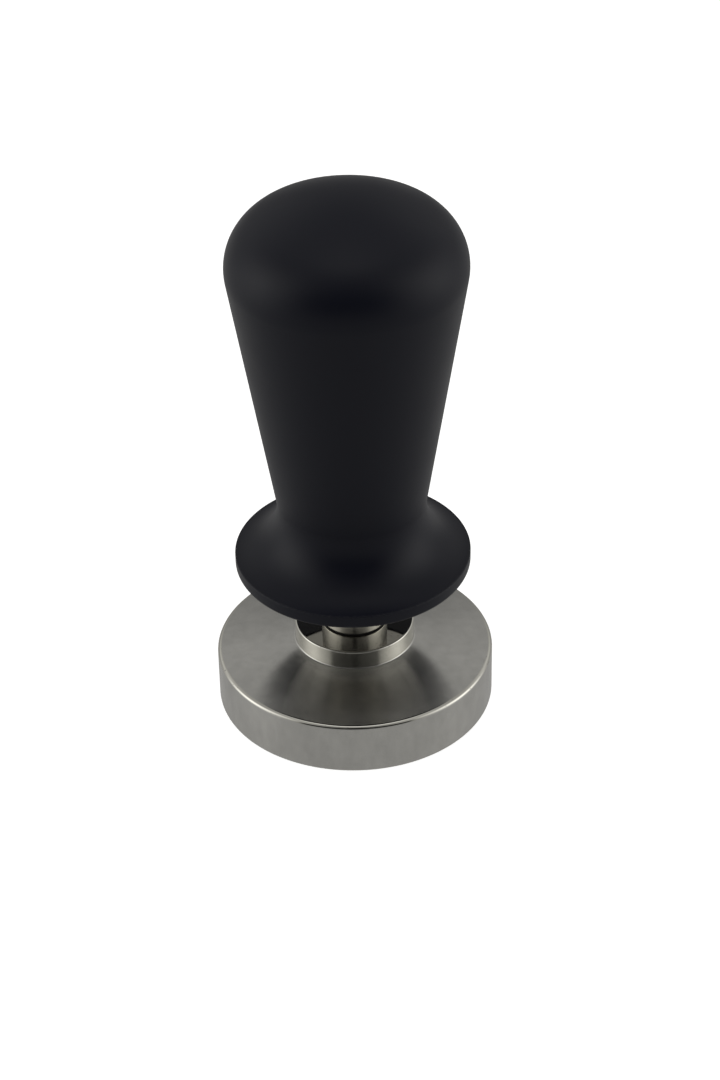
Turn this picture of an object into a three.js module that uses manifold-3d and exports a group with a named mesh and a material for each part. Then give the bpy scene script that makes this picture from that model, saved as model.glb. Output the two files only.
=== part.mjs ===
// Spring-loaded (calibrated) espresso tamper, 51 mm. Millimetres, +Z up.
// The origin is the centre of the flat tamping face, and everything is turned about the Z axis.
//
// A steel base carries a polished plunger shaft, joined to it by a headless stud. The black handle is
// a shell with a blind bore, and it slides and turns on the shaft. A retaining nut with a guide bush
// closes the handle's underside, a stop washer on the shaft holds the two together, and a compression
// spring between the top of the shaft and the end of the bore sets the tamping force.
import * as THREE from "three";
import { mergeVertices } from "three/addons/utils/BufferGeometryUtils.js";
import Module from "manifold-3d";

const wasm = await Module();
wasm.setup();

// ---------------------------------------------------------------- driving dimensions
const TRAVEL = 13.0; // how far the handle slides down before its nut lands on the collar
const LANDING_GAP = 0.3; // left under the nut at the end of that stroke
const GAP = 0.1; // between pieces that touch in the real assembly
const EDGE = 0.4; // chamfer on the edges of the inner pieces
const FINE = 48; // sides of the large turned pieces
const COARSE = 32; // sides of the small turned pieces

const base = {
  radius: 25.5,
  rimHeight: 10.0,
  rimFillet: 0.8,
  faceChamfer: 0.3, // round the tamping face
  collarRadius: 11.0,
  collarFoot: 12.2, // where the sloping top meets the collar
  collarTop: 15.85,
  collarChamfer: 0.6,
  footFillet: 0.35,
  socketRadius: 4.0,
  socketFloor: 6.2,
  drillPoint: 1.2,
};

const seal = { inner: 4.6, outer: 5.75, height: 0.25, bevel: 0.08 };
const stud = { radius: 3.9, bottom: 6.7, length: 20.0 };
const hexSocket = { radius: 2.3, depth: 3.0 }; // in the stud and in the head screw

const shaft = {
  radius: 6.0,
  bottom: base.collarTop + seal.height + GAP, // stands on the seal ring
  shoulder: 41.5,
  spigotRadius: 4.5,
  spigotTop: 45.6,
  socketTop: 27.8, // end of the tapped hole that takes the stud
  tapRadius: 2.6,
  tapFloor: 33.0,
};

const handle = {
  underside: 29.0,
  rimRadius: 21.4,
  rimTop: 31.6,
  rimLowerFillet: 0.7,
  rimUpperChamfer: 0.25,
  flareEnd: THREE.MathUtils.degToRad(75), // how far the surface has turned upwards where it meets the rim
  lean: THREE.MathUtils.degToRad(9.1), // how far the sides lean out from the vertical
  greatestRadius: 21.0,
  shoulderRadius: 10.5,
  domeRadius: 34.0,
  top: 103.0,
  recessRadius: 15.1,
  recessTop: 31.6,
  sealRadius: 13.0, // the counterbore that holds the nut's seal ring
  sealTop: 32.7,
  threadRadius: 11.5,
  threadTop: 36.6,
  boreRadius: 10.3,
  boreEnd: 87.9,
  drillPoint: 2.6,
};

const nut = {
  bottom: base.collarTop + LANDING_GAP + TRAVEL,
  flangeRadius: 15.0,
  flangeTop: handle.recessTop - GAP,
  threadRadius: 11.4,
  threadTop: 36.3,
  spigotRadius: 10.0,
  top: 38.5,
  lipRadius: 6.6, // the thin lip under the wiper ring
  lipTop: 29.7,
  bushBore: 8.1,
  spannerRadius: 1.5,
  spannerDepth: 1.6,
  spannerCircle: 11.3, // radius of the circle that the two spanner holes lie on
};

const nutSeal = { middleRadius: 12.2, middleZ: 32.15, halfWidth: 0.6, halfHeight: 0.4 };
const wiper = { middleRadius: 7.05, middleZ: 30.55, halfWidth: 0.9, halfHeight: 0.7 };
const bush = { bore: shaft.radius + GAP, radius: 8.0, flangeRadius: 9.8, flange: 1.2, bottom: 31.4 };
const bumper = { inner: 6.4, outer: 9.7, thickness: 1.5 };
const stopWasher = { radius: 9.9, thickness: 2.0 };
const seat = { radius: 9.5, flange: 1.6, hubRadius: 6.8, hubLength: 3.8 };
const screw = { radius: 2.4, length: 12.0, headRadius: 4.25, headHeight: 4.8 };
const screwSeat = { hole: 2.8, pocket: 4.75, floor: 1.4 }; // in the lower spring seat
const lockWasher = { inner: 2.7, outer: 4.3, thickness: 1.1, slot: 0.8 };
const packing = { hole: 3.0, radius: 9.6, washer: 1.2, shim: 0.5, shims: 2 }; // above the upper seat

const spring = {
  wire: 2.3,
  meanRadius: 8.3,
  coils: 9.5,
  closedCoils: 1.1, // at each end
  closedPitch: 2.55,
  endHeight: 0.8, // of the wire's centre above the ground end
  length: 38.0, // as fitted, with the handle up
  stepsPerCoil: 16,
  sides: 8,
};

// ---------------------------------------------------------------- heights that follow from those
const stopWasherBottom = shaft.shoulder + GAP;
const stopWasherTop = stopWasherBottom + stopWasher.thickness;
const lowerSeatBottom = stopWasherTop + GAP;
const springBottom = lowerSeatBottom + seat.flange + GAP;
const springTop = springBottom + spring.length;
const screwFloor = shaft.spigotTop + 2 * GAP; // underside of the floor that the head screw clamps
const lockWasherBottom = screwFloor + screwSeat.floor + GAP;
const screwHeadBottom = lockWasherBottom + lockWasher.thickness + GAP;
const upperSeatBottom = springTop + GAP;
const upperSeatTop = upperSeatBottom + seat.flange;
const thrustWasherBottom = upperSeatTop + GAP;
const shimsBottom = thrustWasherBottom + packing.washer + GAP;
const bushFlangeBottom = nut.top + GAP;
const bumperBottom = bushFlangeBottom + bush.flange + GAP;

// ---------------------------------------------------------------- materials
const finish = (colour, roughness, metalness) =>
  new THREE.MeshStandardMaterial({ color: colour, roughness, metalness });

const materials = {
  brushedSteel: finish(0xa9a8a4, 0.28, 1.0),
  polishedSteel: finish(0xc4c2bc, 0.1, 1.0),
  machinedSteel: finish(0x9b9a96, 0.4, 1.0),
  springSteel: finish(0x6f6d68, 0.35, 1.0),
  blackHandle: finish(0x17181b, 0.55, 0.2),
  bronze: finish(0x9c7a45, 0.45, 1.0),
  rubber: finish(0x1a1a1a, 0.85, 0.0),
  nylon: finish(0xe2dfd4, 0.6, 0.0),
};

// ---------------------------------------------------------------- shape helpers
// Points along a round stretch of an outline, from angle a to angle b, both ends included.
function arc(centreR, centreZ, radius, a, b, steps) {
  return Array.from({ length: steps + 1 }, (_, i) => {
    const angle = a + ((b - a) * i) / steps;
    return [centreR + radius * Math.cos(angle), centreZ + radius * Math.sin(angle)];
  });
}

// A turned solid from an outline of [radius, z] points. The outline of a solid without a hole starts
// and ends on the axis, and that of a ring is closed here.
function turned(outline, sides = COARSE) {
  const points = outline.map(([r, z]) => new THREE.Vector2(r, z));
  const isRing = outline[0][0] > 0;
  if (isRing) points.push(points[0].clone());
  return new THREE.LatheGeometry(points, sides).rotateX(Math.PI / 2);
}

// A flat washer, shim or gasket with its outer edges broken.
function washer(inner, outer, bottom, thickness, chamfer) {
  const top = bottom + thickness;
  return turned([
    [inner, bottom],
    [outer - chamfer, bottom],
    [outer, bottom + chamfer],
    [outer, top - chamfer],
    [outer - chamfer, top],
    [inner, top],
  ]);
}

// A ring of oval section, such as a seal.
function ovalRing({ middleRadius, middleZ, halfWidth, halfHeight }) {
  const sectionSides = 10;
  const circle = arc(0, 0, 1, -Math.PI, Math.PI, sectionSides).slice(0, sectionSides);
  return turned(circle.map(([x, y]) => [middleRadius + halfWidth * x, middleZ + halfHeight * y]));
}

// An upright cylinder, used as a cutter.
function drill(radius, bottom, top, x = 0, sides = COARSE) {
  return new THREE.CylinderGeometry(radius, radius, top - bottom, sides)
    .rotateX(Math.PI / 2)
    .translate(x, 0, (bottom + top) / 2);
}

// The hexagonal key socket in the top of a screw or stud.
function keySocket(top) {
  return drill(hexSocket.radius, top - hexSocket.depth, top + 1, 0, 6);
}

function solidOf(geometry) {
  const bare = geometry.clone();
  bare.deleteAttribute("normal");
  bare.deleteAttribute("uv");
  const merged = mergeVertices(bare, 1e-4);
  return new wasm.Manifold(
    new wasm.Mesh({
      numProp: 3,
      vertProperties: merged.attributes.position.array,
      triVerts: new Uint32Array(merged.index.array),
    }),
  );
}

function geometryOf(solid) {
  const mesh = solid.getMesh();
  return new THREE.BufferGeometry()
    .setAttribute("position", new THREE.BufferAttribute(mesh.vertProperties, 3))
    .setIndex(new THREE.BufferAttribute(mesh.triVerts, 1));
}

function cut(geometry, ...tools) {
  return geometryOf(tools.reduce((body, tool) => body.subtract(solidOf(tool)), solidOf(geometry)));
}

// ---------------------------------------------------------------- the base and what is fixed to it
function tampingBase() {
  const b = base;
  const quarter = Math.PI / 2;
  const rimR = b.radius - b.rimFillet;
  const footR = b.collarRadius + b.footFillet;
  return turned(
    [
      [0, 0],
      [b.radius - b.faceChamfer, 0],
      [b.radius, b.faceChamfer],
      ...arc(rimR, b.rimHeight - b.rimFillet, b.rimFillet, 0, quarter, 4),
      ...arc(footR, b.collarFoot + b.footFillet, b.footFillet, -quarter, -2 * quarter, 3),
      [b.collarRadius, b.collarTop - b.collarChamfer],
      [b.collarRadius - b.collarChamfer, b.collarTop],
      [b.socketRadius + EDGE, b.collarTop],
      [b.socketRadius, b.collarTop - EDGE],
      [b.socketRadius, b.socketFloor],
      [0, b.socketFloor - b.drillPoint],
    ],
    FINE,
  );
}

function joiningStud() {
  const top = stud.bottom + stud.length;
  const body = turned([
    [0, stud.bottom],
    [stud.radius - EDGE, stud.bottom],
    [stud.radius, stud.bottom + EDGE],
    [stud.radius, top - EDGE],
    [stud.radius - EDGE, top],
    [0, top],
  ]);
  return cut(body, keySocket(top));
}

function plungerShaft() {
  const s = shaft;
  return turned(
    [
      [0, s.socketTop + base.drillPoint],
      [base.socketRadius, s.socketTop],
      [base.socketRadius, s.bottom],
      [s.radius - EDGE, s.bottom],
      [s.radius, s.bottom + EDGE],
      [s.radius, s.shoulder - EDGE],
      [s.radius - EDGE, s.shoulder],
      [s.spigotRadius, s.shoulder],
      [s.spigotRadius, s.spigotTop],
      [s.tapRadius, s.spigotTop],
      [s.tapRadius, s.tapFloor],
      [0, s.tapFloor - base.drillPoint],
    ],
    FINE,
  );
}

// A cap that fits over the shaft's spigot, with a hub inside the spring and a pocket for the screw.
function lowerSpringSeat() {
  const flangeTop = lowerSeatBottom + seat.flange;
  const hubTop = springBottom + seat.hubLength;
  const pocketFloor = screwFloor + screwSeat.floor;
  return turned([
    [screwSeat.hole, screwFloor],
    [shaft.spigotRadius + GAP, screwFloor],
    [shaft.spigotRadius + GAP, lowerSeatBottom],
    [seat.radius, lowerSeatBottom],
    [seat.radius, flangeTop],
    [seat.hubRadius, flangeTop],
    [seat.hubRadius, hubTop - EDGE],
    [seat.hubRadius - EDGE, hubTop],
    [screwSeat.pocket, hubTop],
    [screwSeat.pocket, pocketFloor],
    [screwSeat.hole, pocketFloor],
  ]);
}

// A spring lock washer: a flat ring with a slot through one side.
function splitLockWasher() {
  const { inner, outer, thickness, slot } = lockWasher;
  const body = washer(inner, outer, lockWasherBottom, thickness, 0.1);
  const cutter = new THREE.BoxGeometry(outer, slot, 3 * thickness).translate(outer, 0, lockWasherBottom);
  return cut(body, cutter);
}

function headScrew() {
  const tip = screwHeadBottom - screw.length;
  const top = screwHeadBottom + screw.headHeight;
  const body = turned([
    [0, tip],
    [screw.radius - EDGE, tip],
    [screw.radius, tip + EDGE],
    [screw.radius, screwHeadBottom],
    [screw.headRadius, screwHeadBottom],
    [screw.headRadius, top - EDGE],
    [screw.headRadius - EDGE, top],
    [0, top],
  ]);
  return cut(body, keySocket(top));
}

// The middle of the spring's wire: closed coils at both ends, an even pitch between them.
class SpringLine extends THREE.Curve {
  getPoint(t, target = new THREE.Vector3()) {
    const { coils, closedCoils, closedPitch, meanRadius, length, endHeight } = spring;
    const turn = t * coils;
    const openCoils = coils - 2 * closedCoils;
    const openPitch = (length - 2 * endHeight - 2 * closedCoils * closedPitch) / openCoils;
    const lower = Math.min(turn, closedCoils) * closedPitch;
    const middle = THREE.MathUtils.clamp(turn - closedCoils, 0, openCoils) * openPitch;
    const upper = Math.max(0, turn - closedCoils - openCoils) * closedPitch;
    const angle = 2 * Math.PI * turn;
    return target.set(
      meanRadius * Math.cos(angle),
      meanRadius * Math.sin(angle),
      springBottom + endHeight + lower + middle + upper,
    );
  }
}

function compressionSpring() {
  const circle = arc(0, 0, spring.wire / 2, 0, 2 * Math.PI, spring.sides).slice(0, spring.sides);
  const section = new THREE.Shape(circle.map(([x, y]) => new THREE.Vector2(x, y)));
  const wire = new THREE.ExtrudeGeometry(section, {
    steps: Math.round(spring.coils * spring.stepsPerCoil),
    extrudePath: new SpringLine(),
  });
  const betweenTheSeats = drill(spring.meanRadius + spring.wire, springBottom, springTop);
  return geometryOf(solidOf(wire).intersect(solidOf(betweenTheSeats)));
}

// ---------------------------------------------------------------- the seat that slides with the handle
function upperSpringSeat() {
  const hubBottom = upperSeatBottom - seat.hubLength;
  return turned([
    [packing.hole, hubBottom],
    [seat.hubRadius - EDGE, hubBottom],
    [seat.hubRadius, hubBottom + EDGE],
    [seat.hubRadius, upperSeatBottom],
    [seat.radius, upperSeatBottom],
    [seat.radius, upperSeatTop],
    [packing.hole, upperSeatTop],
  ]);
}

// ---------------------------------------------------------------- the handle and what rides in it
// The outside, from the lower edge of the rim up to the middle of the dome. The side, the rounded
// shoulder and the dome run into each other smoothly, and so do the side and the flare above the rim.
function handleOutside() {
  const h = handle;
  const domeCentre = h.top - h.domeRadius;
  const shoulderR = h.greatestRadius - h.shoulderRadius;
  const shoulderZ = domeCentre + Math.sqrt((h.domeRadius - h.shoulderRadius) ** 2 - shoulderR ** 2);
  const crown = Math.atan2(shoulderZ - domeCentre, shoulderR); // where the shoulder meets the dome
  const sideR = shoulderR + h.shoulderRadius * Math.cos(h.lean);
  const sideZ = shoulderZ - h.shoulderRadius * Math.sin(h.lean);
  const edgeR = h.rimRadius - h.rimUpperChamfer;
  const slope = Math.tan(h.lean);
  const turn = 1 / Math.cos(h.lean) - Math.cos(h.flareEnd) + Math.sin(h.flareEnd) * slope;
  const flare = (edgeR - sideR + (sideZ - h.rimTop) * slope) / turn; // radius that meets rim and side
  const flareR = edgeR + flare * Math.cos(h.flareEnd);
  const flareZ = h.rimTop + flare * Math.sin(h.flareEnd);
  const rimFilletR = h.rimRadius - h.rimLowerFillet;

  return [
    ...arc(rimFilletR, h.underside + h.rimLowerFillet, h.rimLowerFillet, -Math.PI / 2, 0, 3),
    [h.rimRadius, h.rimTop - h.rimUpperChamfer],
    ...arc(flareR, flareZ, flare, h.flareEnd - Math.PI, -Math.PI - h.lean, 10),
    ...arc(shoulderR, shoulderZ, h.shoulderRadius, -h.lean, crown, 9),
    ...arc(0, domeCentre, h.domeRadius, crown, Math.PI / 2, 5).slice(1, -1),
    [0, h.top],
  ];
}

function handleShell() {
  const h = handle;
  return turned(
    [
      [0, h.boreEnd + h.drillPoint],
      [h.boreRadius, h.boreEnd],
      [h.boreRadius, h.threadTop],
      [h.threadRadius, h.threadTop],
      [h.threadRadius, h.sealTop],
      [h.sealRadius, h.sealTop],
      [h.sealRadius, h.recessTop],
      [h.recessRadius, h.recessTop],
      [h.recessRadius, h.underside],
      ...handleOutside(),
    ],
    FINE,
  );
}

function retainingNut() {
  const n = nut;
  const body = turned(
    [
      [n.lipRadius, n.bottom],
      [n.flangeRadius - EDGE, n.bottom],
      [n.flangeRadius, n.bottom + EDGE],
      [n.flangeRadius, n.flangeTop],
      [n.threadRadius, n.flangeTop],
      [n.threadRadius, n.threadTop],
      [n.spigotRadius, n.threadTop],
      [n.spigotRadius, n.top],
      [n.bushBore, n.top],
      [n.bushBore, n.lipTop],
      [n.lipRadius, n.lipTop],
    ],
    FINE,
  );
  const holes = [1, -1].map((side) =>
    drill(n.spannerRadius, n.bottom - 1, n.bottom + n.spannerDepth, side * n.spannerCircle, 16),
  );
  return cut(body, ...holes);
}

function guideBush() {
  const top = bushFlangeBottom + bush.flange;
  return turned(
    [
      [bush.bore, bush.bottom],
      [bush.radius, bush.bottom],
      [bush.radius, bushFlangeBottom],
      [bush.flangeRadius, bushFlangeBottom],
      [bush.flangeRadius, top],
      [bush.bore, top],
    ],
    FINE,
  );
}

// ---------------------------------------------------------------- assembly
function part(name, geometry, material) {
  const mesh = new THREE.Mesh(geometry, material);
  mesh.name = name;
  return mesh;
}

const onTheBase = new THREE.Group().add(
  part("tamping_base", tampingBase(), materials.brushedSteel),
  part(
    "base_seal_ring",
    washer(seal.inner, seal.outer, base.collarTop + GAP / 2, seal.height, seal.bevel),
    materials.rubber,
  ),
  part("joining_stud", joiningStud(), materials.machinedSteel),
  part("plunger_shaft", plungerShaft(), materials.polishedSteel),
  part(
    "stop_washer",
    washer(shaft.spigotRadius + GAP, stopWasher.radius, stopWasherBottom, stopWasher.thickness, EDGE),
    materials.machinedSteel,
  ),
  part("lower_spring_seat", lowerSpringSeat(), materials.machinedSteel),
  part("lock_washer", splitLockWasher(), materials.springSteel),
  part("head_screw", headScrew(), materials.machinedSteel),
  part("compression_spring", compressionSpring(), materials.springSteel),
);

const underTheHandle = new THREE.Group().add(
  part("upper_spring_seat", upperSpringSeat(), materials.machinedSteel),
  part(
    "thrust_washer",
    washer(packing.hole, packing.radius, thrustWasherBottom, packing.washer, 0.2),
    materials.nylon,
  ),
);

const onTheHandle = new THREE.Group().add(
  part("handle_shell", handleShell(), materials.blackHandle),
  part("retaining_nut", retainingNut(), materials.machinedSteel),
  part("nut_seal_ring", ovalRing(nutSeal), materials.rubber),
  part("guide_bush", guideBush(), materials.bronze),
  part("wiper_ring", ovalRing(wiper), materials.rubber),
  part(
    "bumper_ring",
    washer(bumper.inner, bumper.outer, bumperBottom, bumper.thickness, 0.2),
    materials.rubber,
  ),
);

for (let i = 0; i < packing.shims; i++) {
  const bottom = shimsBottom + i * (packing.shim + GAP);
  const shim = washer(packing.hole, packing.radius, bottom, packing.shim, 0.05);
  onTheHandle.add(part(`preload_shim_${i + 1}`, shim, materials.springSteel));
}

const tamper = new THREE.Group();
tamper.name = "espresso_tamper";
tamper.add(onTheBase, underTheHandle, onTheHandle);

export default tamper;
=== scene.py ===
"""Looks of the spring-loaded espresso tamper: fine turned meshes, procedural materials and studio light.

Outlines are in millimetres, as (radius, height) points of pieces turned about the Z axis. The frame gives
where each piece stands, and the few sizes below are the ones that its boxes don't show.
"""

import math

import bpy
from mathutils import Matrix, Vector


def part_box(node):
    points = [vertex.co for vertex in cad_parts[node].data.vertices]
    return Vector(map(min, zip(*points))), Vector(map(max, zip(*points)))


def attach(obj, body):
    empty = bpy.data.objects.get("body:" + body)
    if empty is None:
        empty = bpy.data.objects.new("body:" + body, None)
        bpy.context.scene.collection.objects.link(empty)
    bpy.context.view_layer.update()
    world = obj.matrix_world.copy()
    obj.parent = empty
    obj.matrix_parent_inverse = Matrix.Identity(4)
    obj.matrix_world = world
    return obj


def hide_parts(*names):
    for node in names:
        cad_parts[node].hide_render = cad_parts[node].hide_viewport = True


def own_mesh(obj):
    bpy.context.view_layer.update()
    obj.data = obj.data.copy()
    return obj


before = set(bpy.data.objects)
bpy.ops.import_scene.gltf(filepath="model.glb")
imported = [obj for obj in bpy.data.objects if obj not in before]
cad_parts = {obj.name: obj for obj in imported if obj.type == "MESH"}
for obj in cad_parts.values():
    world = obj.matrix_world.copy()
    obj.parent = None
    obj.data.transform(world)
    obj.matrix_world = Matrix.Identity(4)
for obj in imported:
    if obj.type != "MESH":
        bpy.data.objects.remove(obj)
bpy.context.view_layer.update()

MM = 0.001
TAU = 2 * math.pi
FINE = 192  # sides of the large turned pieces
COARSE = 96  # sides of the small turned pieces
THREAD_SIDES = 64  # sides of the small screws
CREASE = math.radians(34)  # a sharper turn than this between two faces is a visible edge


# ------------------------------------------------------------------ outlines, in millimetres
def arc(centre_r, centre_z, radius, start, end, steps):
    """Points along a round stretch of an outline, both ends included. Angles are in radians."""
    angles = [start + (end - start) * i / steps for i in range(steps + 1)]
    return [(centre_r + radius * math.cos(a), centre_z + radius * math.sin(a)) for a in angles]


def fillet(before, corner, after, radius, steps=5):
    """The round that replaces a corner, with a point on each side that keeps the flats flat."""
    p, a, b = Vector(corner), Vector(before), Vector(after)
    to_a, to_b = (a - p).normalized(), (b - p).normalized()
    half = math.acos(max(-1.0, min(1.0, to_a.dot(to_b)))) / 2
    reach = min(radius / math.tan(half), 0.4 * (a - p).length, 0.4 * (b - p).length)
    radius = reach * math.tan(half)
    centre = p + (to_a + to_b).normalized() * (radius / math.sin(half))
    start, end = p + to_a * reach - centre, p + to_b * reach - centre
    sweep = start.angle_signed(end)
    points = [centre + Matrix.Rotation(-sweep * i / steps, 2) @ start for i in range(steps + 1)]
    guard = 0.2 * reach
    return [p + to_a * (reach + guard), *points, p + to_b * (reach + guard)]


def rounded(*corners):
    """An outline from (radius, height) or (radius, height, fillet) corners. The two ends stay sharp."""
    points = [Vector(corners[0][:2])]
    for before, corner, after in zip(corners, corners[1:], corners[2:]):
        if len(corner) == 3:
            points += fillet(before[:2], corner[:2], after[:2], corner[2])
        else:
            points.append(Vector(corner))
    points.append(Vector(corners[-1][:2]))
    return [tuple(p) for p in points]


def ring(inner, outer, low, high, edge):
    """The section of a washer, shim or gasket with rounded edges."""
    middle = (low + high) / 2
    corners = [(inner, low, edge), (outer, low, edge), (outer, high, edge), (inner, high, edge)]
    return rounded((inner, middle), *corners, (inner, middle))[:-1]


def thread(crest, depth, pitch, low, high, lead_in):
    """Heights and a relief for a thread. Its crests fade out over lead_in at each end."""
    rows_per_turn = 10
    count = round((high - low) / pitch * rows_per_turn)
    heights = [low + (high - low) * i / count for i in range(count + 1)]

    def relief(radius, height, angle):
        if abs(radius - crest) > 1e-4 or not low <= height <= high:
            return radius
        phase = (height / pitch - angle / TAU) % 1.0
        groove = min(1.0, max(0.0, 1.15 - 2.6 * abs(phase - 0.5)))
        fade = min(1.0, min(height - low, high - height) / lead_in)
        return crest - depth * (groove * fade + 0.35 * (1 - fade))

    return [(crest, height) for height in heights], relief


# ------------------------------------------------------------------ meshes
def piece_from(name, vertices, faces):
    """A mesh object with smooth faces and crisp creases, from points in millimetres."""
    mesh = bpy.data.meshes.new(name)
    mesh.from_pydata([Vector(v) * MM for v in vertices], [], faces)
    mesh.validate()
    mesh.shade_smooth()
    mesh.set_sharp_from_angle(angle=CREASE)
    piece = bpy.data.objects.new(name, mesh)
    bpy.context.scene.collection.objects.link(piece)
    return piece


def lathe(name, outline, sides=COARSE, relief=None):
    """A mesh turned about Z. An outline that starts off the axis is a ring and closes on itself.
    relief(radius, height, angle) may change the radius, as a thread does."""
    rows, vertices, faces = [], [], []
    for r, z in outline:
        start = len(vertices)
        if r < 1e-6:
            rows.append([start] * sides)
            vertices.append((0, 0, z))
            continue
        rows.append(range(start, start + sides))
        for i in range(sides):
            angle = TAU * i / sides
            radius = relief(r, z, angle) if relief else r
            vertices.append((radius * math.cos(angle), radius * math.sin(angle), z))
    if outline[0][0] > 1e-6:
        rows.append(rows[0])
    for low, high in zip(rows, rows[1:]):
        for i in range(sides):
            j = (i + 1) % sides
            faces.append(list(dict.fromkeys((low[i], low[j], high[j], high[i]))))
    return piece_from(name, vertices, faces)


def bar(name, sections):
    """A solid through a row of sections with the same number of points, closed at both ends."""
    count = len(sections[0])
    vertices = [point for section in sections for point in section]
    faces = [list(range(count))[::-1], list(range(len(vertices) - count, len(vertices)))]
    for start in range(0, len(vertices) - count, count):
        for i in range(count):
            j = (i + 1) % count
            faces.append([start + i, start + j, start + count + j, start + count + i])
    return piece_from(name, vertices, faces)


def drill(radius, low, high, x=0.0, sides=48):
    """A cutter for a hole of that radius, round, or six-sided for a key."""
    cutter = lathe("cutter", [(0, low), (radius, low), (radius, high), (0, high)], sides)
    cutter.location.x = x * MM
    return cutter


def key_cutter(top):
    """A cutter for a hexagonal key socket in a screw that ends at that height."""
    return drill(KEY_RADIUS, top - KEY_DEPTH, top + 1, sides=6)


def cut(piece, *cutters):
    """Cuts the cutters out of a piece and removes them."""
    for cutter in cutters:
        step = piece.modifiers.new("cut", "BOOLEAN")
        step.object = cutter
        step.solver = "EXACT"
    bpy.context.view_layer.update()
    shape = piece.evaluated_get(bpy.context.evaluated_depsgraph_get())
    mesh = bpy.data.meshes.new_from_object(shape)
    piece.modifiers.clear()
    piece.data = mesh
    mesh.shade_smooth()
    mesh.set_sharp_from_angle(angle=CREASE)
    for cutter in cutters:
        bpy.data.objects.remove(cutter)
    return piece


def paint(piece, choose):
    """Gives each face the material that choose(radius, height, normal) returns, by its number."""
    for face in piece.data.polygons:
        centre = face.center / MM
        face.material_index = choose(centre.xy.length, centre.z, face.normal)


def fit(piece, node, body, slot, *materials):
    """Puts a fine piece in place of a CAD node: it rides on the node's body."""
    for material in materials:
        piece.data.materials.append(material)
    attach(piece, body)
    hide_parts(node)


def span(node):
    """Greatest radius, lowest height and highest height of a CAD node, in millimetres."""
    low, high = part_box(node)
    return high.x / MM, low.z / MM, high.z / MM


# ------------------------------------------------------------------ shader helpers
class Nodes:
    """Short calls for adding nodes to a material's or a world's tree."""

    def __init__(self, tree):
        self.tree = tree

    def node(self, kind, inputs=None, **settings):
        made = self.tree.nodes.new("ShaderNode" + kind)
        for key, value in settings.items():
            setattr(made, key, value)
        for socket, value in (inputs or {}).items():
            if isinstance(value, bpy.types.NodeSocket):
                self.tree.links.new(value, made.inputs[socket])
            else:
                made.inputs[socket].default_value = value
        return made

    def maths(self, operation, a, b=0.0, clamp=False):
        return self.node("Math", {0: a, 1: b}, operation=operation, use_clamp=clamp).outputs[0]

    def vector(self, operation, a, b=(0, 0, 0)):
        return self.node("VectorMath", {0: a, 1: b}, operation=operation).outputs[0]

    def ramp(self, value, start, end, low=0.0, high=1.0, smooth=False):
        """Maps start..end to low..high, and holds at both ends."""
        kind = "SMOOTHSTEP" if smooth else "LINEAR"
        inputs = {"Value": value, 1: start, 2: end, 3: low, 4: high}
        return self.node("MapRange", inputs, interpolation_type=kind).outputs[0]


class Shader(Nodes):
    """One Principled material. Constants go straight on its sockets, and nodes drive the rest."""

    def __init__(self, name, **constants):
        self.material = bpy.data.materials.new(name)
        self.material.use_nodes = True
        super().__init__(self.material.node_tree)
        self.surface = self.tree.nodes["Principled BSDF"]
        for socket, value in constants.items():
            self.surface.inputs[socket.replace("_", " ")].default_value = value
        coordinate = self.node("TexCoord").outputs["Object"]
        self.place = self.vector("MULTIPLY", coordinate, (1 / MM, 1 / MM, 1 / MM))
        self.flat = self.vector("MULTIPLY", self.place, (1, 1, 0))
        self.radius = self.node("VectorMath", {0: self.flat}, operation="LENGTH").outputs["Value"]
        self.height = self.node("SeparateXYZ", {0: self.place}).outputs["Z"]

    def set(self, socket, value):
        self.tree.links.new(value, self.surface.inputs[socket])

    def noise(self, where, scale, detail=3.0, roughness=0.55):
        inputs = {"Vector": where, "Scale": scale, "Detail": detail, "Roughness": roughness}
        return self.node("TexNoise", inputs).outputs["Fac"]

    def turning_marks(self, per_mm, drift=0.7, detail=4.0):
        """Fine rings left by a lathe tool: quick changes across the cut, slow ones along it."""
        outward = self.vector("NORMALIZE", self.flat)
        around = self.vector("MULTIPLY", outward, (drift, drift, 0))
        across = self.maths("ADD", self.radius, self.maths("MULTIPLY", self.height, 1.3))
        rings = self.node("CombineXYZ", {"Z": self.maths("MULTIPLY", across, per_mm)}).outputs[0]
        return self.noise(self.vector("ADD", around, rings), 1.0, detail)

    def mix(self, factor, a, b):
        """Colour a where the factor is 0 and b where it is 1."""
        made = self.node("Mix", data_type="RGBA")
        for index, value in ((0, factor), (6, a), (7, b)):
            if isinstance(value, bpy.types.NodeSocket):
                self.tree.links.new(value, made.inputs[index])
            else:
                made.inputs[index].default_value = value
        return made.outputs[2]

    def follow_the_turning(self):
        """Stretches highlights across the marks that turning or grinding about Z left."""
        self.set("Tangent", self.node("Tangent", direction_type="RADIAL", axis="Z").outputs[0])

    def bump(self, height, depth, below=None):
        """A bump of that depth in millimetres, on top of another bump if one is given."""
        inputs = {"Height": height, "Distance": depth * MM, "Strength": 1.0}
        if below:
            inputs["Normal"] = below
        return self.node("Bump", inputs).outputs[0]


def shade(colour, factor):
    return (*[min(1.0, c * factor) for c in colour], 1.0)


# ------------------------------------------------------------------ materials
ACROSS_THE_MARKS = 0.25  # of a turn, from the tangent that runs along them


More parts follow.
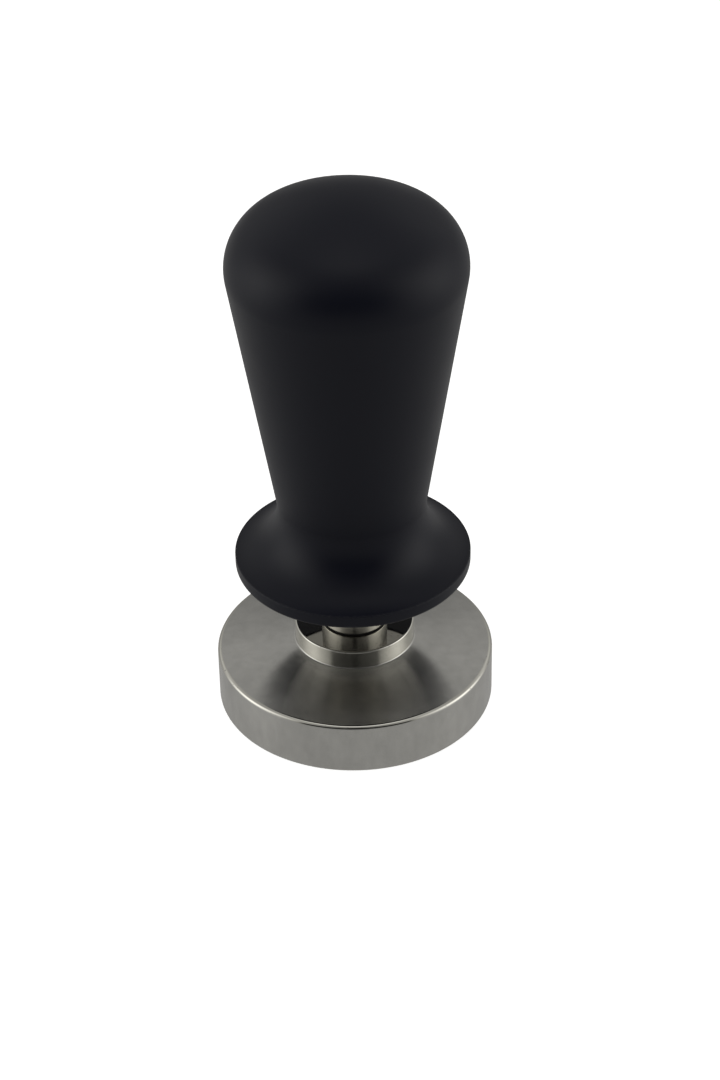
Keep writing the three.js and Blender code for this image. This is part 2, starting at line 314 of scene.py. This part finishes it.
def turned_steel(name, colour, roughness, marks_per_mm, marks_depth, marks_haze, anisotropy=0.0):
    """Steel as the lathe left it: fine rings, uneven sheen, and smears where it was wiped. marks_haze is
    how much rougher or smoother the rings are than the rest."""
    shader = Shader(name, Metallic=1.0, Anisotropic=anisotropy, Anisotropic_Rotation=ACROSS_THE_MARKS)
    marks = shader.turning_marks(marks_per_mm)
    smears = shader.noise(shader.place, 0.09, 3.0)
    blotches = shader.noise(shader.vector("MULTIPLY", shader.place, (1, 1, 0.45)), 0.5, 4.0)
    both = shader.maths("MULTIPLY", shader.maths("ADD", smears, blotches), 0.5)
    uneven = shader.ramp(both, 0.35, 0.65)
    shader.set("Base Color", shader.mix(uneven, shade(colour, 0.92), shade(colour, 1.08)))
    from_marks = shader.ramp(marks, 0.25, 0.75, -marks_haze, marks_haze)
    from_smears = shader.ramp(smears, 0.3, 0.7, -0.02, 0.02)
    spread = shader.maths("ADD", from_marks, from_smears)
    shader.set("Roughness", shader.maths("ADD", spread, roughness, clamp=True))
    shader.set("Normal", shader.bump(marks, marks_depth))
    if anisotropy:
        shader.follow_the_turning()
    return shader.material


def polished_steel(name, colour, roughness, anisotropy=0.0):
    """Mirror-bright steel with faint hairlines, small specks and a little haze where it was wiped."""
    shader = Shader(name, Metallic=1.0, Anisotropic=anisotropy, Anisotropic_Rotation=ACROSS_THE_MARKS)
    haze = shader.noise(shader.place, 0.22, 4.0)
    hairlines = shader.turning_marks(9.0, drift=2.0)
    specks = shader.ramp(shader.noise(shader.place, 1.7, 1.0), 0.70, 0.74)
    clean = shader.mix(haze, shade(colour, 0.95), shade(colour, 1.0))
    shader.set("Base Color", shader.mix(specks, clean, shade(colour, 0.6)))
    shader.set("Roughness", shader.ramp(haze, 0.35, 0.75, roughness, roughness + 0.05))
    shader.set("Normal", shader.bump(hairlines, 0.0006))
    if anisotropy:
        shader.follow_the_turning()
    return shader.material


def black_anodised(name, rim_radius, rim_top):
    """Satin black anodising over a fine blast: an even fine grain, soft smears, a rubbed rim edge."""
    shader = Shader(name, IOR=1.30)
    grain = shader.noise(shader.place, 14.0, 2.0, 0.6)
    pores = shader.noise(shader.place, 4.0, 3.0)
    smears = shader.noise(shader.place, 0.06, 3.0)
    at_rim = shader.ramp(shader.radius, rim_radius - 0.5, rim_radius - 0.1)
    from_top = shader.maths("ABSOLUTE", shader.maths("SUBTRACT", shader.height, rim_top))
    on_edge = shader.maths("MULTIPLY", at_rim, shader.ramp(from_top, 0.45, 0.15))
    rubbed = shader.maths("MULTIPLY", on_edge, shader.ramp(pores, 0.45, 0.7))
    black = shader.mix(smears, (0.0050, 0.0058, 0.0125, 1), (0.0068, 0.0078, 0.0155, 1))
    shader.set("Base Color", shader.mix(rubbed, black, (0.022, 0.023, 0.028, 1)))
    from_smears = shader.ramp(smears, 0.3, 0.7, 0.34, 0.42)
    shader.set("Roughness", shader.maths("ADD", from_smears, shader.maths("MULTIPLY", grain, 0.05)))
    shader.set("Normal", shader.bump(pores, 0.002, shader.bump(grain, 0.0016)))
    return shader.material


def rubber(name):
    """Matte black rubber with a dusty, slightly rough skin."""
    shader = Shader(name, Specular_IOR_Level=0.4)
    grain = shader.noise(shader.place, 6.0, 4.0)
    shader.set("Base Color", shader.mix(grain, (0.010, 0.010, 0.010, 1), (0.024, 0.023, 0.022, 1)))
    shader.set("Roughness", shader.ramp(grain, 0.3, 0.7, 0.62, 0.85))
    shader.set("Normal", shader.bump(grain, 0.01))
    return shader.material


def nylon(name):
    """Cream nylon with turning marks and a little light inside it."""
    shader = Shader(name, Specular_IOR_Level=0.45, Subsurface_Weight=0.15, Subsurface_Scale=0.6 * MM)
    marks = shader.turning_marks(3.0)
    shader.set("Base Color", shader.mix(marks, (0.66, 0.63, 0.55, 1), (0.78, 0.76, 0.69, 1)))
    shader.set("Roughness", shader.ramp(marks, 0.3, 0.7, 0.42, 0.6))
    shader.set("Normal", shader.bump(marks, 0.003))
    return shader.material


RIM_TOP = 31.6  # upper edge of the flared rim
rim_radius, rim_low, handle_top = span("handle_shell")

STAINLESS = (0.56, 0.555, 0.53)
semi_polished = turned_steel("semi_polished_stainless", STAINLESS, 0.21, 2.2, 0.00005, 0.012, 0.98)
ground = turned_steel("ground_stainless", STAINLESS, 0.22, 2.6, 0.0001, 0.02, 0.6)
machined = turned_steel("machined_steel", (0.50, 0.49, 0.465), 0.30, 1.6, 0.002, 0.04)
spring_steel = turned_steel("spring_steel", (0.30, 0.29, 0.27), 0.33, 0.8, 0.002, 0.04)
bronze = turned_steel("bronze", (0.52, 0.34, 0.15), 0.36, 1.8, 0.003, 0.04)
polished = polished_steel("polished_stainless", (0.62, 0.61, 0.56), 0.04)
mirror = polished_steel("mirror_stainless", (0.60, 0.592, 0.55), 0.02)
shaft_steel = polished_steel("ground_and_polished_stainless", (0.64, 0.62, 0.56), 0.17, 0.98)
black = black_anodised("black_anodised", rim_radius, RIM_TOP)
black_rubber = rubber("black_rubber")
white_nylon = nylon("white_nylon")


# ------------------------------------------------------------------ the base and what is fixed to it
RIM_HEIGHT = 10.0  # upper edge of the base's side
COLLAR_RADIUS, COLLAR_FOOT = 11.0, 12.2
SOCKET_RADIUS, SOCKET_FLOOR, SOCKET_TOP = 4.0, 6.2, 27.8  # the tapped hole for the stud, in base and shaft
DRILL_POINT = 1.2
SHOULDER, SPIGOT_RADIUS = 41.5, 4.5  # the step near the top of the shaft
TAP_RADIUS, TAP_FLOOR = 2.6, 33.0
KEY_RADIUS, KEY_DEPTH = 2.3, 3.0  # the hexagonal key sockets


def tamping_base():
    radius, low, top = span("tamping_base")
    outline = rounded(
        (0, low), (radius, low, 0.3), (radius, RIM_HEIGHT, 0.7), (COLLAR_RADIUS, COLLAR_FOOT, 0.25),
        (COLLAR_RADIUS, top, 0.3), (SOCKET_RADIUS, top, 0.4), (SOCKET_RADIUS, SOCKET_FLOOR),
        (0, SOCKET_FLOOR - DRILL_POINT),
    )
    piece = lathe("tamping_base_turned", outline, FINE)

    def finish_of(r, z, normal):
        if r > radius - 0.1 and normal.z < 0.2:
            return 1
        if r > radius - 0.8 and (z > RIM_HEIGHT - 1 or z < 0.3):
            return 2
        if z > COLLAR_FOOT + 0.1 and r < COLLAR_RADIUS + 0.1:
            return 3 if normal.z > 0.99 else 2
        return 0

    paint(piece, finish_of)
    fit(piece, "tamping_base", "base", "brushed_stainless", semi_polished, ground, polished, mirror)


def base_seal_ring():
    radius, low, high = span("base_seal_ring")
    outline = ring(SOCKET_RADIUS + 0.6, radius + 0.15, low, high, 0.08)
    fit(lathe("base_seal_moulded", outline), "base_seal_ring", "base", "black_rubber", black_rubber)


def joining_stud():
    radius, low, high = span("joining_stud")
    turns, relief = thread(radius, 0.6, 1.25, low + 0.4, high - 0.4, 1.2)
    outline = [(0, low), (radius - 0.5, low), *turns, (radius - 0.5, high), (0, high)]
    piece = cut(lathe("joining_stud_threaded", outline, THREAD_SIDES, relief), key_cutter(high))
    fit(piece, "joining_stud", "base", "machined_steel", machined)


def plunger_shaft():
    radius, low, high = span("plunger_shaft")
    outline = rounded(
        (0, SOCKET_TOP + DRILL_POINT), (SOCKET_RADIUS, SOCKET_TOP), (SOCKET_RADIUS, low, 0.3),
        (radius, low, 0.12), (radius, SHOULDER, 0.35), (SPIGOT_RADIUS, SHOULDER, 0.1),
        (SPIGOT_RADIUS, high, 0.3), (TAP_RADIUS, high, 0.3), (TAP_RADIUS, TAP_FLOOR),
        (0, TAP_FLOOR - DRILL_POINT),
    )
    piece = lathe("plunger_shaft_polished", outline, FINE)
    fit(piece, "plunger_shaft", "base", "polished_stainless", shaft_steel)


def stop_washer():
    radius, low, high = span("stop_washer")
    outline = ring(SPIGOT_RADIUS + 0.1, radius, low, high, 0.3)
    fit(lathe("stop_washer_turned", outline), "stop_washer", "base", "machined_steel", machined)


SEAT_FLANGE = 1.6
HUB_RADIUS = 6.8  # of both spring seats, inside the spring
SCREW_POCKET, SCREW_FLOOR, POCKET_FLOOR, SCREW_HOLE = 4.75, 45.8, 47.2, 2.8


def lower_spring_seat():
    radius, low, high = span("lower_spring_seat")
    spigot = SPIGOT_RADIUS + 0.1
    outline = rounded(
        (SCREW_HOLE, (SCREW_FLOOR + POCKET_FLOOR) / 2), (SCREW_HOLE, SCREW_FLOOR, 0.15),
        (spigot, SCREW_FLOOR), (spigot, low, 0.2), (radius, low, 0.25), (radius, low + SEAT_FLANGE, 0.25),
        (HUB_RADIUS, low + SEAT_FLANGE, 0.2), (HUB_RADIUS, high, 0.5), (SCREW_POCKET, high, 0.2),
        (SCREW_POCKET, POCKET_FLOOR), (SCREW_HOLE, POCKET_FLOOR, 0.15),
        (SCREW_HOLE, (SCREW_FLOOR + POCKET_FLOOR) / 2),
    )
    piece = lathe("lower_spring_seat_turned", outline[:-1])
    fit(piece, "lower_spring_seat", "base", "machined_steel", machined)


def lock_washer():
    """A split ring: its section goes round from one side of the slot to the other."""
    _, low, high = span("lock_washer")
    inner, outer, slot = 2.7, 4.3, 0.8
    section = ring(inner, outer, low, high, 0.12)
    half_slot = slot / (inner + outer)  # as an angle, at the middle of the section
    steps = 72
    sections = []
    for i in range(steps + 1):
        angle = half_slot + (TAU - 2 * half_slot) * i / steps
        sections.append([(r * math.cos(angle), r * math.sin(angle), z) for r, z in section])
    fit(bar("lock_washer_split", sections), "lock_washer", "base", "spring_steel", spring_steel)


def head_screw():
    radius, low, high = span("head_screw")
    shank, head_low = 2.4, high - 4.8
    turns, relief = thread(shank, 0.4, 0.8, low + 0.3, head_low - 1.5, 0.8)
    head = rounded(
        (shank, head_low - 0.1), (shank, head_low), (radius, head_low, 0.15), (radius, high, 0.45), (0, high)
    )
    outline = [(0, low), (shank - 0.4, low), *turns, *head]
    piece = cut(lathe("head_screw_threaded", outline, THREAD_SIDES, relief), key_cutter(high))
    fit(piece, "head_screw", "base", "machined_steel", machined)


def compression_spring():
    """Round wire in closed end coils and an even pitch between them, ground flat at both ends."""
    _, low, high = span("compression_spring")
    wire, mean_radius, coils, closed, closed_pitch, end_height = 2.3, 8.3, 9.5, 1.1, 2.55, 0.8
    open_coils = coils - 2 * closed
    open_pitch = (high - low - 2 * end_height - 2 * closed * closed_pitch) / open_coils
    steps_per_coil, around = 56, 20
    sections = []
    for i in range(round(coils * steps_per_coil) + 1):
        turn = i / steps_per_coil
        closed_turns = min(turn, closed) + max(0.0, turn - closed - open_coils)
        open_turns = min(max(turn - closed, 0.0), open_coils)
        middle = low + end_height + closed_turns * closed_pitch + open_turns * open_pitch
        angle = TAU * turn
        outward = Vector((math.cos(angle), math.sin(angle), 0))
        section = []
        for point in range(around):
            a = TAU * point / around
            r, z = mean_radius + wire / 2 * math.cos(a), middle + wire / 2 * math.sin(a)
            section.append((*(outward.xy * r), min(max(z, low), high)))
        sections.append(section[::-1])
    spring = bar("compression_spring_coiled", sections)
    fit(spring, "compression_spring", "base", "spring_steel", spring_steel)
    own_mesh(spring)


# ------------------------------------------------------------------ the seat that slides with the handle
PACKING_HOLE = 3.0


def upper_spring_seat():
    radius, low, high = span("upper_spring_seat")
    under = high - SEAT_FLANGE
    outline = rounded(
        (PACKING_HOLE, (low + high) / 2), (PACKING_HOLE, low, 0.2), (HUB_RADIUS, low, 0.5),
        (HUB_RADIUS, under, 0.2), (radius, under, 0.25), (radius, high, 0.25), (PACKING_HOLE, high, 0.2),
        (PACKING_HOLE, (low + high) / 2),
    )
    piece = lathe("upper_spring_seat_turned", outline[:-1])
    fit(piece, "upper_spring_seat", "spring_seat", "machined_steel", machined)


def flat_ring(node, name, body, slot, material, inner, edge):
    radius, low, high = span(node)
    fit(lathe(name, ring(inner, radius, low, high, edge)), node, body, slot, material)


# ------------------------------------------------------------------ the handle and what rides in it
def handle_outside():
    """From the lower edge of the rim up to the middle of the dome, in smooth arcs."""
    lean, flare_end = math.radians(9.1), math.radians(75)
    shoulder, dome, greatest = 10.5, 34.0, 21.0
    lower, upper = 0.7, 0.25
    dome_centre = handle_top - dome
    shoulder_r = greatest - shoulder
    shoulder_z = dome_centre + math.sqrt((dome - shoulder) ** 2 - shoulder_r**2)
    crown = math.atan2(shoulder_z - dome_centre, shoulder_r)
    side_r = shoulder_r + shoulder * math.cos(lean)
    side_z = shoulder_z - shoulder * math.sin(lean)
    edge_r = rim_radius - upper
    slope = math.tan(lean)
    turn = 1 / math.cos(lean) - math.cos(flare_end) + math.sin(flare_end) * slope
    flare = (edge_r - side_r + (side_z - RIM_TOP) * slope) / turn
    flare_r = edge_r + flare * math.cos(flare_end)
    flare_z = RIM_TOP + flare * math.sin(flare_end)
    neck_r = flare_r - flare * math.cos(lean)
    neck_z = flare_z + flare * math.sin(lean)
    steps = 12
    neck, side = Vector((neck_r, neck_z)), Vector((side_r, side_z))
    taper = [tuple(neck.lerp(side, i / steps)) for i in range(1, steps)]
    return [
        *arc(rim_radius - lower, rim_low + lower, lower, -math.pi / 2, 0, 6),
        (rim_radius, RIM_TOP - upper - 0.1),
        *arc(rim_radius - upper, RIM_TOP - upper, upper, 0, flare_end, 5),
        *arc(flare_r, flare_z, flare, flare_end - math.pi, -math.pi - lean, 28),
        *taper,
        *arc(shoulder_r, shoulder_z, shoulder, -lean, crown, 28),
        *arc(0, dome_centre, dome, crown, math.pi / 2, 16)[1:-1],
        (0, handle_top),
    ]


def handle_shell():
    bore, bore_end, thread_radius, thread_top = 10.3, 87.9, 11.5, 36.6
    recess, seal, seal_top = 15.1, 13.0, 32.7
    inside = rounded(
        (0, bore_end + 2.6), (bore, bore_end), (bore, thread_top, 0.3), (thread_radius, thread_top),
        (thread_radius, seal_top, 0.2), (seal, seal_top), (seal, RIM_TOP, 0.1), (recess, RIM_TOP),
        (recess, rim_low, 0.2), (recess + 2, rim_low),
    )
    piece = lathe("handle_shell_anodised", inside + handle_outside(), FINE)
    fit(piece, "handle_shell", "handle", "black_anodised", black)


def retaining_nut():
    radius, low, high = span("retaining_nut")
    flange_top, thread_radius, thread_top, spigot = 31.5, 11.4, 36.3, 10.0
    lip, lip_top, bore = 6.6, 29.7, 8.1
    turns, relief = thread(thread_radius, 0.45, 1.0, flange_top + 0.6, thread_top, 0.8)
    below = rounded(
        (lip, (low + lip_top) / 2), (lip, low, 0.15), (radius, low, 0.35), (radius, flange_top, 0.2),
        (thread_radius - 0.5, flange_top), (thread_radius - 0.5, flange_top + 0.5),
    )
    above = rounded(
        (spigot, thread_top), (spigot, high, 0.3), (bore, high, 0.3), (bore, lip_top), (lip, lip_top, 0.1),
        (lip, (low + lip_top) / 2),
    )
    piece = lathe("retaining_nut_threaded", below + turns + above[:-1], FINE, relief)
    spanner_radius, spanner_depth, spanner_circle = 1.5, 1.6, 11.3
    holes = [drill(spanner_radius, low - 1, low + spanner_depth, side * spanner_circle) for side in (1, -1)]
    fit(cut(piece, *holes), "retaining_nut", "handle", "machined_steel", machined)


def oval_ring(node, name, half_width):
    """A moulded seal of oval section, from its CAD box and the half width of its section."""
    radius, low, high = span(node)
    half_height = (high - low) / 2
    steps = 20
    angles = [TAU * i / steps for i in range(steps)]
    middle = radius - half_width
    centre = low + half_height
    outline = [(middle + half_width * math.cos(a), centre + half_height * math.sin(a)) for a in angles]
    fit(lathe(name, outline), node, "handle", "black_rubber", black_rubber)


def guide_bush():
    radius, low, high = span("guide_bush")
    bore, body, flange = 6.1, 8.0, 1.2
    middle = (low + high) / 2
    outline = rounded(
        (bore, middle), (bore, low, 0.3), (body, low, 0.3), (body, high - flange, 0.1),
        (radius, high - flange, 0.2), (radius, high, 0.2), (bore, high, 0.3), (bore, middle),
    )
    fit(lathe("guide_bush_turned", outline[:-1]), "guide_bush", "handle", "bronze", bronze)


tamping_base()
base_seal_ring()
joining_stud()
plunger_shaft()
stop_washer()
lower_spring_seat()
lock_washer()
head_screw()
compression_spring()
upper_spring_seat()
flat_ring(
    "thrust_washer", "thrust_washer_turned", "spring_seat", "white_nylon", white_nylon, PACKING_HOLE, 0.2
)
handle_shell()
retaining_nut()
oval_ring("nut_seal_ring", "nut_seal_moulded", 0.6)
oval_ring("wiper_ring", "wiper_moulded", 0.9)
guide_bush()
flat_ring("bumper_ring", "bumper_moulded", "handle", "black_rubber", black_rubber, 6.4, 0.25)
for number in (1, 2):
    shim = f"preload_shim_{number}"
    flat_ring(shim, shim + "_ground", "handle", "spring_steel", spring_steel, PACKING_HOLE, 0.06)


# ------------------------------------------------------------------ stage, light and camera
# The light tent's panels stand in pairs, one on each side of the camera's line of sight: degrees
# round from the camera, degrees above the horizon, brightness.
SIDE_PANELS = (90, 10, 1.6)
FRONT_PANELS = (65, 30, 0.6)
BACK_PANELS = (140, 30, 0.5)
ROOF_LIGHT = 0.9
TABLE_LIGHT = 0.4
TENT_LIGHT = 0.15
PHOTOGRAPHER_DIMMING, LENS_DIMMING = 0.12, 0.1  # the share of the light left where they stand
PANEL_TIGHTNESS = 12.0  # how fast a panel's patch of light falls off around its middle
LENS_ELEVATION, LENS_HALF_ANGLE = math.radians(36), math.radians(5)  # the camera's own dark spot


def studio_world():
    """A light tent over a pale table, dark where the photographer stands. The camera itself sees a
    plain pale backdrop."""
    world = bpy.data.worlds.new("studio")
    bpy.context.scene.world = world
    world.use_nodes = True
    world.node_tree.nodes.clear()
    tent = Nodes(world.node_tree)
    direction = tent.node("TexCoord").outputs["Generated"]
    x, y, z = tent.node("SeparateXYZ", {0: direction}).outputs

    def towards(aim):
        """Cosine of the angle between each direction and aim."""
        return tent.node("VectorMath", {0: direction, 1: aim}, operation="DOT_PRODUCT").outputs["Value"]

    def panel(azimuth, elevation, level):
        a, e = math.radians(azimuth), math.radians(elevation)
        aim = (math.sin(a) * math.cos(e), -math.cos(a) * math.cos(e), math.sin(e))
        away = tent.maths("SUBTRACT", towards(aim), 1.0)
        fall = tent.maths("EXPONENT", tent.maths("MULTIPLY", away, PANEL_TIGHTNESS))
        return tent.maths("MULTIPLY", fall, level)

    light = tent.ramp(z, 0.1, -0.25, TENT_LIGHT, TABLE_LIGHT, smooth=True)
    light = tent.maths("ADD", light, panel(0, 90, ROOF_LIGHT))
    for azimuth, elevation, level in (SIDE_PANELS, FRONT_PANELS, BACK_PANELS):
        for side in (-1, 1):
            light = tent.maths("ADD", light, panel(side * azimuth, elevation, level))

    beside = tent.ramp(tent.maths("ABSOLUTE", x), 0.60, 0.70, smooth=True)
    over = tent.ramp(z, 0.46, 0.58, smooth=True)
    under = tent.ramp(z, 0.06, -0.14, smooth=True)
    behind = tent.ramp(y, -0.3, 0.0)
    above_or_beside = tent.maths("MAXIMUM", beside, over)
    clear = tent.maths("MAXIMUM", above_or_beside, tent.maths("MAXIMUM", under, behind))
    light = tent.maths("MULTIPLY", light, tent.ramp(clear, 0, 1, PHOTOGRAPHER_DIMMING, 1.0))

    lens = (0, -math.cos(LENS_ELEVATION), math.sin(LENS_ELEVATION))
    inner, outer = math.cos(LENS_HALF_ANGLE), math.cos(1.5 * LENS_HALF_ANGLE)
    around_lens = tent.ramp(towards(lens), inner, outer, smooth=True)
    light = tent.maths("MULTIPLY", light, tent.ramp(around_lens, 0, 1, LENS_DIMMING, 1.0))

    seen = tent.node("LightPath").outputs["Is Camera Ray"]
    lit = tent.node("Background", {"Color": (1.0, 0.99, 0.965, 1), "Strength": light}).outputs[0]
    plain = tent.node("Background", {"Color": (1, 1, 1, 1), "Strength": 1.0}).outputs[0]
    blend = tent.node("MixShader", {0: seen, 1: lit, 2: plain}).outputs[0]
    tent.tree.links.new(blend, tent.node("OutputWorld").inputs["Surface"])


def studio_floor():
    """A plain pale ground, clear from below so that the underside can be seen."""
    half = 3.0
    mesh = bpy.data.meshes.new("studio_floor")
    corners = [(-half, -half, 0), (half, -half, 0), (half, half, 0), (-half, half, 0)]
    mesh.from_pydata(corners, [], [(0, 1, 2, 3)])
    floor = bpy.data.objects.new("studio_floor", mesh)
    bpy.context.scene.collection.objects.link(floor)
    shader = Shader("studio_ground", Roughness=0.9, Specular_IOR_Level=0.1, Emission_Strength=0.75)
    shader.surface.inputs["Emission Color"].default_value = (1, 1, 1, 1)
    tint = shader.noise(shader.place, 0.004, 2.0)
    shader.set("Base Color", shader.mix(tint, (0.80, 0.80, 0.80, 1), (0.83, 0.83, 0.82, 1)))
    clear = shader.node("BsdfTransparent").outputs[0]
    below = shader.node("NewGeometry").outputs["Backfacing"]
    sided = shader.node("MixShader", {0: below, 1: shader.surface.outputs[0], 2: clear}).outputs[0]
    shader.tree.links.new(sided, shader.tree.nodes["Material Output"].inputs["Surface"])
    mesh.materials.append(shader.material)
    floor.visible_glossy = False
    floor.visible_diffuse = False


def camera():
    """Looks down at the object from the front, with the small tilt of a hand-held shot."""
    elevation, roll = math.radians(35.2), math.radians(-1.16)
    distance, lens = 507.7, 94.0
    aim = Vector((0, 0, 39.57))
    right_of_aim, above_aim = 1.43, -5.26
    forward = Vector((0, math.cos(elevation), -math.sin(elevation)))
    right = Vector((1, 0, 0))
    up = right.cross(forward)
    x = right * math.cos(roll) + up * math.sin(roll)
    y = up * math.cos(roll) - right * math.sin(roll)
    place = (aim - distance * forward + right_of_aim * x + above_aim * y) * MM
    data = bpy.data.cameras.new("camera")
    data.lens = lens
    data.clip_start = 0.01
    view = bpy.data.objects.new("camera", data)
    bpy.context.scene.collection.objects.link(view)
    view.matrix_world = Matrix.Translation(place) @ Matrix((x, y, -forward)).transposed().to_4x4()
    bpy.context.scene.camera = view


studio_world()
studio_floor()
camera()
bpy.context.scene.view_settings.view_transform = "Standard"
